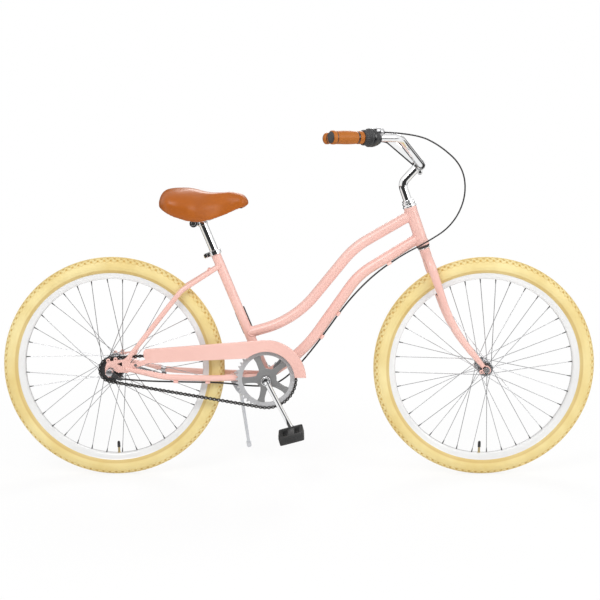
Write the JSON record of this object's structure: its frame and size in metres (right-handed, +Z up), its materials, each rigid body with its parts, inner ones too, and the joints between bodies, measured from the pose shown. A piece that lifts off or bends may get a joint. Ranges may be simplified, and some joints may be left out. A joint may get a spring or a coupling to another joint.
{
  "type": "bicycle",
  "caption": "Step-through beach cruiser bicycle with curved tubes, wide tyres, swept handlebar, padded saddle, chain guard, kickstand and twist gear shifter",
  "frame": {"origin": "on the ground below the middle of the box round the bicycle", "axes": "+X forward, +Y to the left side, +Z up; the chain is on the -Y side"},
  "size_m": [1.781, 0.682, 1.0454],
  "materials": {
    "frame_paint": "gloss",
    "black": "matte",
    "chrome": "polished",
    "steel": "satin",
    "aluminium": "satin",
    "chain": "oiled",
    "cable": "satin",
    "grip": "matte",
    "grip_rubber": "matte",
    "tyre": "matte",
    "rim": "gloss",
    "brass": "satin",
    "saddle": "satin"
  },
  "bodies": {
    "frame": {"head_tube": "frame_paint", "top_tube": "frame_paint", "down_tube": "frame_paint", "seat_tube": "frame_paint", "bottom_bracket_shell": "frame_paint", "chain_stay_right": "frame_paint", "chain_stay_left": "frame_paint", "seat_stay_right": "frame_paint", "seat_stay_left": "frame_paint", "stay_bridges": "frame_paint", "rear_dropout_right": "frame_paint", "rear_dropout_left": "frame_paint", "cable_guides": "frame_paint", "chain_guard": "frame_paint", "chain_guard_bracket": "steel", "bearing_cups": "steel", "seat_clamp": "chrome", "kickstand_bracket": "aluminium", "rear_axle": "steel", "brake_arm": "steel", "bell_crank": "black", "chain": "chain", "gear_cable_run": "cable", "gear_cable_loop": "cable"},
    "steering": {"fork_steerer": "frame_paint", "fork_blade_right": "frame_paint", "fork_blade_left": "frame_paint", "headset_races": "chrome", "stem": "chrome", "handlebar": "chrome", "grips": "grip", "bar_end_plugs": "black", "shifter_housing": "black", "front_axle": "steel"},
    "front_wheel": {"front_tyre": "tyre", "front_rim": "rim", "front_hub_and_spokes": "steel", "front_valve": "brass"},
    "rear_wheel": {"rear_tyre": "tyre", "rear_rim": "rim", "rear_hub_and_spokes": "steel", "rear_valve": "brass"},
    "rear_cog": {"rear_sprocket": "steel"},
    "crankset": {"crank_spindles": "steel", "crank_right": "chrome", "crank_left": "chrome", "chainring": "steel"},
    "right_pedal": {"pedal_right": "black"},
    "left_pedal": {"pedal_left": "black"},
    "kickstand": {"kickstand_leg": "aluminium"},
    "seat_pillar": {"seat_post": "chrome"},
    "saddle": {"saddle_cushion": "saddle", "saddle_base": "black", "saddle_rails": "chrome"},
    "gear_twist": {"shifter_twist": "grip_rubber"}
  },
  "joints": [
    {"name": "steering_turn", "type": "hinge", "parent": "frame", "child": "steering", "pos_m": [0.50666, 0, 0.3148], "axis": [-0.3371, 0, 0.9415], "range_deg": [-70, 70], "deforming": ["gear_cable_loop"]},
    {"name": "front_wheel_spin", "type": "hinge", "parent": "steering", "child": "front_wheel", "pos_m": [0.5575, 0, 0.333], "axis": [0, 1, 0], "continuous": true},
    {"name": "rear_wheel_spin", "type": "hinge", "parent": "frame", "child": "rear_wheel", "pos_m": [-0.5575, 0, 0.333], "axis": [0, 1, 0], "continuous": true},
    {"name": "crank_spin", "type": "hinge", "parent": "frame", "child": "crankset", "pos_m": [-0.09775, 0, 0.306], "axis": [0, 1, 0], "continuous": true, "deforming": ["chain"]},
    {"name": "rear_cog_spin", "type": "hinge", "parent": "frame", "child": "rear_cog", "pos_m": [-0.5575, 0, 0.333], "axis": [0, 1, 0], "continuous": true},
    {"name": "right_pedal_spin", "type": "hinge", "parent": "crankset", "child": "right_pedal", "pos_m": [-0.02233, -0.14, 0.15925], "axis": [0, 1, 0], "continuous": true},
    {"name": "left_pedal_spin", "type": "hinge", "parent": "crankset", "child": "left_pedal", "pos_m": [-0.17317, 0.14, 0.45275], "axis": [0, 1, 0], "continuous": true},
    {"name": "kickstand_swing", "type": "hinge", "parent": "frame", "child": "kickstand", "pos_m": [-0.18, 0.0238, 0.262], "axis": [0, 1, 0], "range_deg": [0, 95]},
    {"name": "seat_height", "type": "slide", "parent": "frame", "child": "seat_pillar", "axis": [-0.3778, 0, 0.9259], "range_m": [-0.06, 0.08]},
    {"name": "saddle_tilt", "type": "hinge", "parent": "seat_pillar", "child": "saddle", "pos_m": [-0.31067, 0, 0.76694], "axis": [0, 1, 0], "range_deg": [-12, 12]},
    {"name": "gear_twist_turn", "type": "hinge", "parent": "steering", "child": "gear_twist", "pos_m": [0.17933, -0.27039, 1.0155], "axis": [0.8654, 0.501, -0.0046], "range_deg": [-40, 40]}
  ],
  "couplings": [
    {"joint": "rear_cog_spin", "follows": "crank_spin", "ratio": 2.4444}
  ]
}
